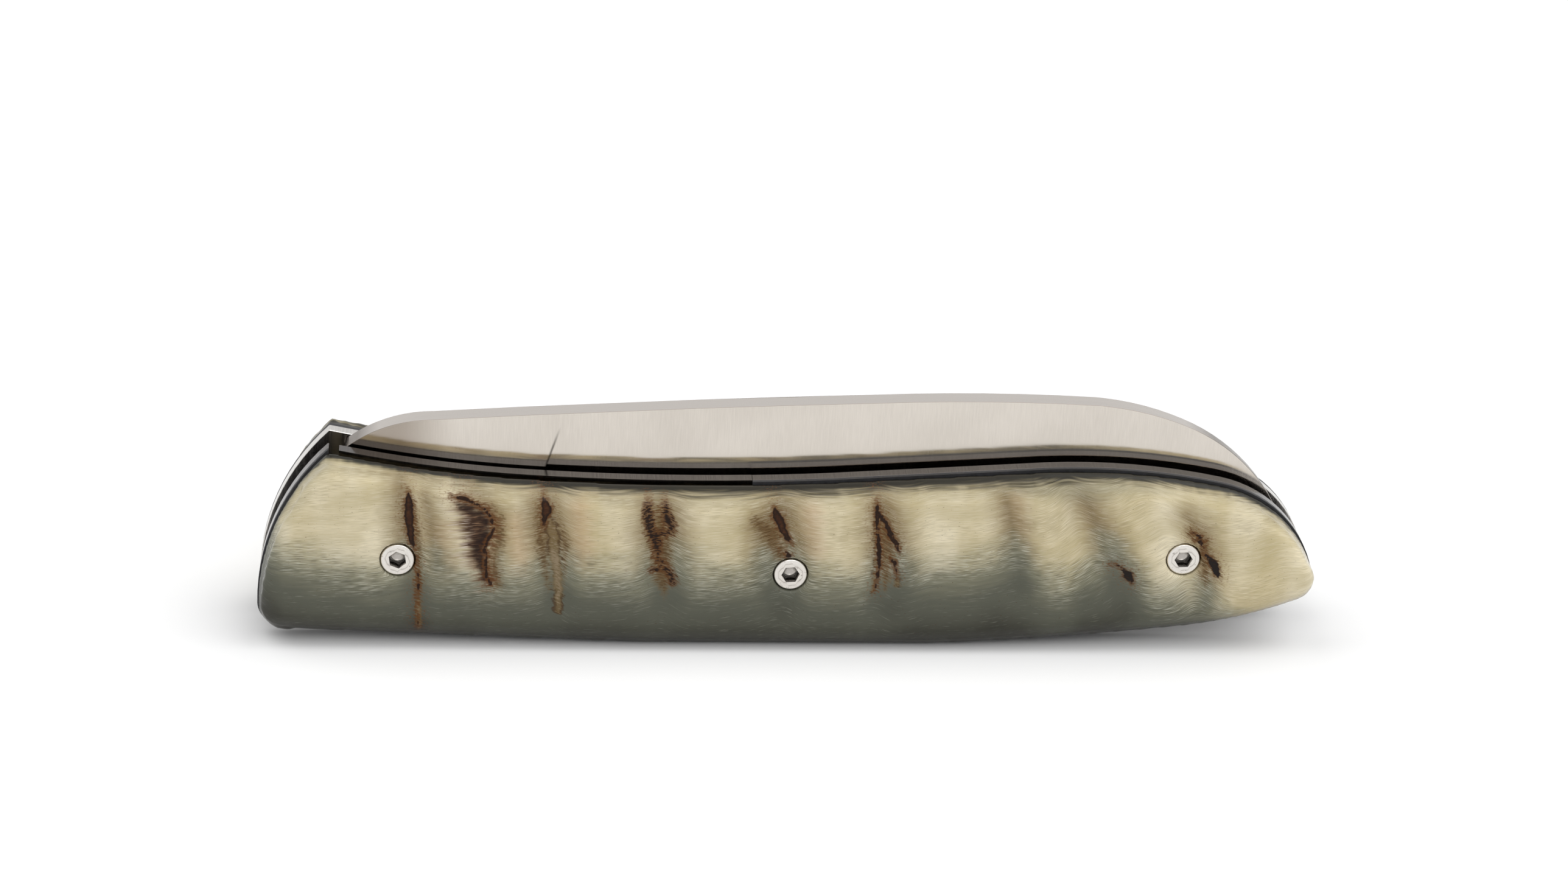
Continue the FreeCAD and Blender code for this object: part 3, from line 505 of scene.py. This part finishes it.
# Each layer: its colour and share, then what bounds it: a mark, the pattern that frays it and by how many
# millimetres, and where it starts and is full
for shade, share, bounds in (
    # Cream keratin: deeper patches, rosy patches, and olive hollows deepened with painted shade
    ("#AC9E74", 0.4, [("patches", "strands", 0.3, 0.42, 0.62)]),
    ("#C09878", 0.4, [("blush", "strands", 2.0, 1.8, -0.8)]),
    ("#8C7A56", 0.8, [("hollow_olive_and_shade", "strands", 1.6, 2.2, -1.2)]),
    ("#5E4A2A", 0.7, [("hollow_olive_and_shade", "strands", 1.6, 0.2, -2.4)]),
    # Painted shade under the top edge; then a greyer front edge
    ("#857B5E", 0.6, [("below_top", "patches", 2.0, 3.0, 0.4)]),
    ("#85826C", 0.3, [("front_edge", "patches", 4.0, 5.5, 0.5)]),
    # Smoke below, deeper downwards, its darkest part partly painted shade; painted shade along the belly;
    # greyer horn under the top edge at the rear
    ("#85846F", 0.9, [("smoke", "patches", 5.0, -4.4, 2.0)]),
    ("#595A4F", 1.0, [("smoke", "strands", 3.0, -1.8, 4.6)]),
    ("#3A3932", 1.0, [("smoke", "strands", 1.0, 4.0, 9.5)]),
    ("#2C2822", 0.7, [("above_belly", "strands", 0.6, 1.8, 0.1)]),
    ("#7E7A64", 0.6, [("grey_rim", "strands", 1.6, 1.6, -0.8)]),
    # Light and dark fibres, strongest where the cream turns to smoke; the light ones are partly pale fibre
    # and partly a painted sheen
    ("#EDE6D2", 0.1, [("threads", "fray", 0.0, 0.52, 0.66), ("smoke", "strands", 0.0, 1.0, -2.0)]),
    ("#7A6E4C", 0.1, [("threads", "fray", 0.0, 0.48, 0.34), ("smoke", "strands", 0.0, 1.0, -2.0)]),
    ("#F0EAD9", 0.15, [("dashes", "fray", 0.0, 0.52, 0.64), ("smoke", "strands", 0.0, 1.0, -2.0)]),
    ("#6B5E40", 0.22, [("dashes", "patches", 0.8, 0.47, 0.32), ("smoke", "strands", 0.0, 1.0, -2.0)]),
    ("#CFCEBF", 0.44, [("dashes", "threads", 0.5, 0.52, 0.68), ("smoke", "patches", 8.0, -3.4, -0.2),
                       ("smoke", "patches", 8.0, 4.0, 0.6)]),
    ("#4A4A40", 0.48, [("dashes", "threads", 0.5, 0.48, 0.34), ("smoke", "patches", 8.0, -3.4, -0.2),
                       ("smoke", "patches", 8.0, 4.0, 0.6)]),
    ("#A9AA9C", 0.22, [("dashes", "threads", 0.6, 0.64, 0.78), ("smoke", "strands", 0.0, 1.0, 3.0)]),
    ("#4A2E1A", 0.6, [("flecks", "fray", 0.0, 0.7, 0.76)]),
    # Dark rims: the top edge, darkest in the joint with the sheet, is partly the horn's dark edge and partly
    # painted shade; the front edge is greyer
    ("#5A533C", 0.7, [("top_edge", "strands", 2.4, 2.3, 1.1)]),
    ("#181712", 0.95, [("top_edge", "strands", 2.0, 1.8, 0.8)]),
    ("#6E6F6A", 0.45, [("front_edge", "strands", 0.8, 0.9, 0.15)]),
    # Tan stains, the burn inside the hooked crack, and brown flecks near the cracks
    ("#7E6236", 0.6, [("tan", "fray", 1.8, 0.9, -0.7)]),
    ("#5A4220", 0.45, [("tan", "fray", 3.2, 0.3, -0.5)]),
    ("#402810", 0.6, [("tan", "fray", 2.4, 0.7, -0.5), ("dashes", "threads", 1.0, 0.6, 0.46)]),
    ("#6E421C", 0.6, [("flecks", "fray", 0.0, 0.56, 0.66), ("crack", "ragged", 1.0, 2.0, 0.3)]),
    ("#75492A", 0.85, [("burn", "strands", 4.0, 1.5, -1.0)]),
    ("#241008", 0.9, [("burn", "strands", 3.0, 1.0, -1.0), ("dashes", "threads", 1.0, 0.72, 0.52)]),
    ("#C9BDB2", 0.65, [("burn", "strands", 2.0, 2.2, 0.4), ("burn", "strands", 2.0, -1.4, -0.2),
                      ("dashes", "threads", 1.0, 0.54, 0.66), ("crack", "ragged", 0.0, 1.2, 2.2)]),
    ("#1E0C04", 0.95, [("burn", "ragged", 1.2, 0.4, -0.6), ("crack", "ragged", 1.6, 1.7, 0.2)]),
    # Fillings with a broken dark line round them
    ("#6E5A38", 0.75, [("filling", "ragged", 0.9, 0.25, -0.2)]),
    ("#93826A", 0.65, [("filling", "ragged", 0.9, 0.0, -0.4), ("fray", "patches", 0.8, 0.45, 0.6)]),
    ("#3A2008", 0.6, [("filling", "ragged", 1.6, 0.3, 0.02), ("filling", "ragged", 0.9, -0.3, -0.05),
                      ("fray", "patches", 1.0, 0.58, 0.46)]),
    # The cracks themselves
    ("#5A340E", 0.75, [("crack", "fray", 1.6, 0.45, 0.0)]),
    ("#381A06", 0.97, [("crack", "ragged", 0.6, 0.06, -0.06)]),
    ("#140800", 0.8, [("crack", "ragged", 0.6, 0.04, -0.1), ("crack", "ragged", 0.6, -0.4, -0.1)]),
    ("#5A340E", 0.75, [("rungs", "fray", 2.0, 0.5, 0.0)]),
    ("#301604", 0.95, [("rungs", "fray", 2.4, 0.02, -0.3)]),
    ("#120802", 0.8, [("rungs", "fray", 3.0, -0.1, -0.5)]),
    ("#5A3818", 0.4, [("crack", "ragged", 0.6, -0.15, -0.4), ("strands", "fray", 0.6, 0.5, 0.66)]),
    ("#17110E", 0.9, [("soot", "fray", 1.2, 0.1, -0.15)]),
):
    frayed_bounds = []
    for mark, fringe, reach, start, full in bounds:
        frayed = add(tree, "ShaderNodeMath", {0: source[fringe], 1: -NOISE_MIDDLE}, operation="ADD")
        frayed = add(tree, "ShaderNodeMath", {0: frayed, 1: reach, 2: source[mark]}, operation="MULTIPLY_ADD")
        frayed_bounds.append((frayed, start, full))
    colour = cover(tree, colour, shade, share, frayed_bounds, "SMOOTHSTEP")
gloss = add(tree, "ShaderNodeMapRange", {
    "Value": source["strands"], "From Min": 0.3, "From Max": 0.7, "To Min": 0.14, "To Max": 0.24})
bump = add(tree, "ShaderNodeBump", {"Height": source["threads"], "Strength": 0.1, "Distance": 0.05 * MM})
surface = add(tree, "ShaderNodeBsdfPrincipled", {
    "Base Color": colour, "Roughness": gloss, "IOR": 1.54, "Specular IOR Level": 0.15, "Normal": bump})
add(tree, "ShaderNodeOutputMaterial", {"Surface": surface})

for node, name, side in (("near_scale", "near_horn", -1), ("far_scale", "far_horn", 1)):
    wear(make_horn_scale(node, name, side), horn)

# Turned screws: a chamfered head with a hexagon socket that ends in a drilled cone, on a plain shank

# Sizes in millimetres
HEAD_RADIUS = 1.88
HEAD_DEPTH = 1.6
SHANK_RADIUS = 1.2
SHANK_LENGTH = 5.4
CHAMFER = 0.2
SOCKET_FLATS = 1.8
SOCKET_DEPTH = 1.5
CONE_RADIUS = 0.92
CONE_DEPTH = 0.45
BROKEN_EDGE = 0.03
# How far the cone's cutter reaches back into the socket, and how far a point may lie from a level
OVERLAP = 0.1
LEVEL = 0.001
# Spacing of the turned rings and size of the dull marks
RING_SPACING = 0.12
DULL_MARK = 0.45
# In degrees: edges sharper than the first are broken, and those blunter than the second shade smoothly
SCREW_SHARP = 35
SCREW_SMOOTH = 30
# How far each screw's socket is turned, in degrees
SOCKET_TURNS = {"pivot": 8, "middle": 34, "rear": 33}


def cut(piece, cutter):
    apply(piece, "BOOLEAN", object=cutter, operation="DIFFERENCE", solver="EXACT")
    bpy.data.objects.remove(cutter)


def make_screw_blank():
    # Stands on its axis, head up, with the top of the head at zero
    bpy.ops.object.select_all(action="DESELECT")
    bpy.ops.mesh.primitive_cylinder_add(vertices=64, radius=HEAD_RADIUS * MM, depth=HEAD_DEPTH * MM,
                                        location=(0, 0, -HEAD_DEPTH / 2 * MM))
    blank = bpy.context.object
    bpy.ops.object.transform_apply(location=True)
    # The shank, drawn out of the underside of the head
    select_nothing()
    for face in blank.data.polygons:
        face.select = face.normal.z < -0.9
    bpy.ops.object.mode_set(mode="EDIT")
    bpy.ops.mesh.inset(thickness=(HEAD_RADIUS - SHANK_RADIUS) * MM)
    bpy.ops.mesh.extrude_region_move(TRANSFORM_OT_translate={"value": (0, 0, -SHANK_LENGTH * MM)})
    bpy.ops.mesh.bevel(offset=CHAMFER * MM, segments=1, affect="EDGES")
    # The chamfer round the top of the head
    select_nothing()
    for edge in blank.data.edges:
        ends = [blank.data.vertices[number].co for number in edge.vertices]
        edge.select = all(abs(end.z) < LEVEL * MM for end in ends)
    bpy.ops.object.mode_set(mode="EDIT")
    bpy.ops.mesh.bevel(offset=CHAMFER * MM, segments=3, affect="EDGES")
    bpy.ops.object.mode_set(mode="OBJECT")
    # The hexagon socket and the cone that the drill left below it
    bpy.ops.object.select_all(action="DESELECT")
    corner_radius = SOCKET_FLATS / 2 / math.cos(math.radians(30))
    bpy.ops.mesh.primitive_cylinder_add(vertices=6, radius=corner_radius * MM, depth=2 * SOCKET_DEPTH * MM)
    cut(blank, bpy.context.object)
    bpy.ops.object.select_all(action="DESELECT")
    cone_middle = SOCKET_DEPTH + (CONE_DEPTH - OVERLAP) / 2
    bpy.ops.mesh.primitive_cone_add(vertices=48, radius1=0, radius2=CONE_RADIUS * MM,
                                    depth=(CONE_DEPTH + OVERLAP) * MM, location=(0, 0, -cone_middle * MM))
    cut(blank, bpy.context.object)
    take_up(blank)
    apply(blank, "BEVEL", width=BROKEN_EDGE * MM, segments=2, limit_method="ANGLE",
          angle_limit=math.radians(SCREW_SHARP))
    bpy.ops.object.shade_smooth_by_angle(angle=math.radians(SCREW_SMOOTH))
    points = places(blank)
    store(blank, {"from_axis": np.linalg.norm(points[:, :UP], axis=1), "below_head": -points[:, UP]})
    return blank


# Turned stainless steel: bright rings round the axis, a few dull marks, and painted shade in the socket
screw_steel, tree = new_material("turned_stainless_steel")
spot = add(tree, "ShaderNodeTexCoord", out="Object")
from_axis = add(tree, "ShaderNodeAttribute", out="Fac", attribute_name="from_axis")
below_head = add(tree, "ShaderNodeAttribute", out="Fac", attribute_name="below_head")
rings = add(tree, "ShaderNodeTexNoise", {
    "W": from_axis, "Scale": 1 / RING_SPACING, "Detail": 2.0}, noise_dimensions="1D")
scaled = add(tree, "ShaderNodeMapping", {"Vector": spot, "Scale": (1 / (DULL_MARK * MM),) * 3})
marks = add(tree, "ShaderNodeTexNoise", {"Vector": scaled, "Scale": 1.0, "Detail": 4.0})
colour = cover(tree, "#DAD5CF", "#EAE6E0", rings, [])
# Dull marks, a dull ring on the face, painted shade on the walls of the socket, and its floor kept lighter
for shade, share, bounds in (
    ("#6E665E", 0.6, [(marks, 0.63, 0.7)]),
    ("#807870", 0.5, [(from_axis, 1.35, 1.4), (from_axis, 1.47, 1.42)]),
    ("#3A3633", 0.95, [(below_head, 0.08, 0.5), (from_axis, 1.2, 1.1)]),
    ("#B4AFA9", 1.0, [(below_head, SOCKET_DEPTH - 0.06, SOCKET_DEPTH + 0.02), (from_axis, 1.0, 0.95)]),
):
    colour = cover(tree, colour, shade, share, bounds)
rough = add(tree, "ShaderNodeMapRange", {
    "Value": rings, "From Min": 0.3, "From Max": 0.7, "To Min": 0.18, "To Max": 0.3})
bump = add(tree, "ShaderNodeBump", {"Height": rings, "Strength": 0.1, "Distance": 0.02 * MM})
surface = add(tree, "ShaderNodeBsdfPrincipled", {
    "Base Color": colour, "Metallic": 1.0, "Roughness": rough, "Normal": bump})
add(tree, "ShaderNodeOutputMaterial", {"Surface": surface})

blank = make_screw_blank()
wear(blank, screw_steel)
for place, socket_turn in SOCKET_TURNS.items():
    for side, out in (("near", -1), ("far", 1)):
        node = f"{side}_{place}_screw"
        low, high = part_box(node)
        piece = bpy.data.objects.new(f"{node}_turned", blank.data.copy())
        piece.data.name = piece.name
        scene.collection.objects.link(piece)
        middle = (Vector(low) + Vector(high)) / 2
        middle.y = low[OUTWARD] if out < 0 else high[OUTWARD]
        lay = Matrix.Rotation(math.radians(-90 * out), 4, "X")
        socket = Matrix.Rotation(math.radians(socket_turn), 4, "Z")
        piece.data.transform(Matrix.Translation(middle) @ lay @ socket)
        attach(piece, "handle")
        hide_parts(node)
bpy.data.objects.remove(blank)

# Blade, liners, lock bar, sheets, pins, ball and washers

# Size of the cloudy haze that lies over every worked finish, in millimetres
HAZE = 11
# Plunge line of the blade, painted as shade in the corner of the cut, in millimetres: where it would meet the
# table, how far it leans back for each one up, and the heights and distances beside it where it shows and is
# full
PLUNGE_FOOT = -34.5
PLUNGE_LEAN = 0.319
PLUNGE_HEIGHTS = (25.0, 22.6)
PLUNGE_SIDES = (0.22, 0.05)
# Where the painted darker reflection towards the pivot starts and is full, along the blade in millimetres
HEEL_DARK_REFLECTION = (-37.0, -45.0)
# How far up the blade faces where the painted shade of its eased edge, the painted duller reflection of its
# spine and its ground sides start and are full, and how much further up the ground sides reflect
EDGE_FACING = (0.2, 0.4)
SPINE_FACING = (0.84, 0.92)
GROUND_FACING = (-0.02, -0.05)
GROUND_LIFT = 0.085


def mark_blade(tree, facts, colour):
    # Painted reflection and shade on the blade, and the rounding the belt left on it: its colour, and the
    # normal that it reflects with
    spot = add(tree, "ShaderNodeVectorMath", {0: facts["Object"], "Scale": 1 / MM}, operation="SCALE")
    place = add(tree, "ShaderNodeSeparateXYZ", {0: spot}).node.outputs
    facing = add(tree, "ShaderNodeSeparateXYZ", {0: facts["Normal"]}, out="Z")
    plunge = add(tree, "ShaderNodeMath", {0: place["Z"], 1: PLUNGE_LEAN, 2: PLUNGE_FOOT},
                 operation="MULTIPLY_ADD")
    beside = add(tree, "ShaderNodeMath", {0: place["X"], 1: plunge}, operation="SUBTRACT")
    beside = add(tree, "ShaderNodeMath", {0: beside}, operation="ABSOLUTE")
    # Painted darker reflection, browner towards the pivot
    colour = cover(tree, colour, "#93877B", 0.75, [(place["X"], *HEEL_DARK_REFLECTION)], "SMOOTHSTEP")
    # Painted shade along the plunge line, in the corner of the cut, fading towards the spine
    colour = cover(tree, colour, "#352F2A", 0.75, [(place["Z"], *PLUNGE_HEIGHTS), (beside, *PLUNGE_SIDES)])
    # Painted shade along the eased edge, and a duller reflection painted on the spine, which faces up
    colour = cover(tree, colour, "#7C756E", 1.0, [(facing, *EDGE_FACING)])
    colour = cover(tree, colour, "#BDB7B1", 1.0, [(facing, *SPINE_FACING)])
    # The belt leaves the ground sides slightly rounded: they reflect as if they faced a little further up
    start, full = GROUND_FACING
    lift = add(tree, "ShaderNodeMapRange", {
        "Value": facing, "From Min": start, "From Max": full, "To Max": GROUND_LIFT})
    lift = add(tree, "ShaderNodeCombineXYZ", {"Z": lift})
    normal = add(tree, "ShaderNodeVectorMath", {0: facts["Normal"], 1: lift}, operation="ADD")
    normal = add(tree, "ShaderNodeVectorTransform", {0: normal}, vector_type="NORMAL", convert_from="OBJECT",
                 convert_to="WORLD")
    return colour, normal


def make_worked_finish(name, dull, bright, grain, gloss, metal, turn=0.0, brushed=0.0, marked=None):
    # A finish with one grain: its size in millimetres along, across and up, its roughness from dull to
    # bright, and the function that marks it where it has more to show
    material, tree = new_material(name)
    facts = add(tree, "ShaderNodeTexCoord").node.outputs
    scaled = add(tree, "ShaderNodeMapping", {
        "Vector": facts["Object"], "Rotation": (0, math.radians(turn), 0),
        "Scale": [1 / (size * MM) for size in grain]})
    lines = add(tree, "ShaderNodeTexNoise", {"Vector": scaled, "Scale": 1.0, "Detail": 3.0})
    scaled = add(tree, "ShaderNodeMapping", {"Vector": facts["Object"], "Scale": (1 / (HAZE * MM),) * 3})
    haze = add(tree, "ShaderNodeTexNoise", {"Vector": scaled, "Scale": 1.0, "Detail": 2.0})
    both = add(tree, "ShaderNodeMath", {0: lines, 1: haze}, operation="ADD")
    colour = cover(tree, dull, bright, 1.0, [(both, 0.75, 1.25)])
    relief = {"Height": lines, "Strength": 0.06, "Distance": 0.02 * MM}
    if marked:
        colour, relief["Normal"] = marked(tree, facts, colour)
    rough = add(tree, "ShaderNodeMapRange", {
        "Value": lines, "From Min": 0.3, "From Max": 0.7, "To Min": gloss[0], "To Max": gloss[1]})
    bump = add(tree, "ShaderNodeBump", relief)
    surface = add(tree, "ShaderNodeBsdfPrincipled", {
        "Base Color": colour, "Metallic": metal, "Roughness": rough, "Anisotropic": brushed, "Normal": bump})
    add(tree, "ShaderNodeOutputMaterial", {"Surface": surface})
    return material


# Satin blade steel: bright, slightly warm, with scratches up and down from the belt, drawn coarse to show
blade_steel = make_worked_finish(
    "belt_ground_stainless_blade", "#CFC8BF", "#DDD6CD", (0.07, 5, 2.2), (0.12, 0.17), 1.0,
    turn=6, brushed=1.0, marked=mark_blade)
# Hardened spring steel of the lock side: cross-ground edges, darker and greyer
lock_steel = make_worked_finish(
    "hardened_spring_steel", "#565250", "#625E5B", (0.09, 4, 4), (0.14, 0.22), 1.0)
# Stainless sheet of the plain side: the same grinding, brighter
liner_steel = make_worked_finish(
    "satin_stainless_sheet", "#BDBAB6", "#D0CDC9", (0.09, 4, 4), (0.16, 0.26), 1.0)
# Black vulcanised fibre: pressed paper sheet, matt, with a faint felted mottle
fibre_board = make_worked_finish(
    "black_vulcanised_fibre", "#121214", "#26262A", (0.4, 0.4, 0.4), (0.5, 0.7), 0.0)
# Turned steel of the pins and barrels: fine rings along the axis
pin_steel = make_worked_finish(
    "turned_steel_pin", "#A8A5A2", "#C6C3C0", (6, 0.15, 6), (0.2, 0.35), 1.0)
# Hardened bearing steel of the detent ball: polished, with faint rolling marks
ball_steel = make_worked_finish(
    "polished_bearing_steel", "#C4C4C4", "#D6D6D6", (0.3, 0.3, 0.3), (0.06, 0.14), 1.0)
# Phosphor bronze of the washers: rolled sheet, warm, slightly tarnished
bronze = make_worked_finish(
    "phosphor_bronze_sheet", "#9C6A34", "#C99656", (1.5, 1.5, 0.3), (0.24, 0.4), 1.0)

# In degrees: faces flatter to each other than the first are one, edges sharper than the second are broken,
# and those blunter than the third shade smoothly
FLAT_ANGLE = 0.5
SHARP_ANGLE = 40
SMOOTH_ANGLE = 12


def ease_edges(node, body, width):
    # The sheet or blade again, with its sharp edges broken as by a stone; width in millimetres
    piece = copy_of_node(node, f"{node}_eased")
    bpy.ops.object.mode_set(mode="EDIT")
    bpy.ops.mesh.select_all(action="SELECT")
    bpy.ops.mesh.dissolve_limited(angle_limit=math.radians(FLAT_ANGLE))
    bpy.ops.object.mode_set(mode="OBJECT")
    apply(piece, "BEVEL", width=width * MM, segments=1, limit_method="ANGLE",
          angle_limit=math.radians(SHARP_ANGLE))
    bpy.ops.object.shade_smooth_by_angle(angle=math.radians(SMOOTH_ANGLE))
    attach(piece, body)
    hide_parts(node)
    return piece


for node, body, slot, width, material in (
    ("blade", "blade", "blade_steel", 0.08, blade_steel),
    ("lock_liner", "handle", "handle_steel", 0.06, lock_steel),
    ("plain_liner", "handle", "handle_steel", 0.06, liner_steel),
):
    wear(ease_edges(node, body, width), material)
for material, names in (
    (lock_steel, ["lock_bar"]),
    (fibre_board, ["near_fibre_sheet", "far_fibre_sheet"]),
    (pin_steel, ["pivot_barrel", "middle_barrel", "rear_barrel", "stop_pin"]),
    (ball_steel, ["detent_ball"]),
    (bronze, ["near_washer", "far_washer"]),
):
    for name in names:
        wear(nodes[name], material)
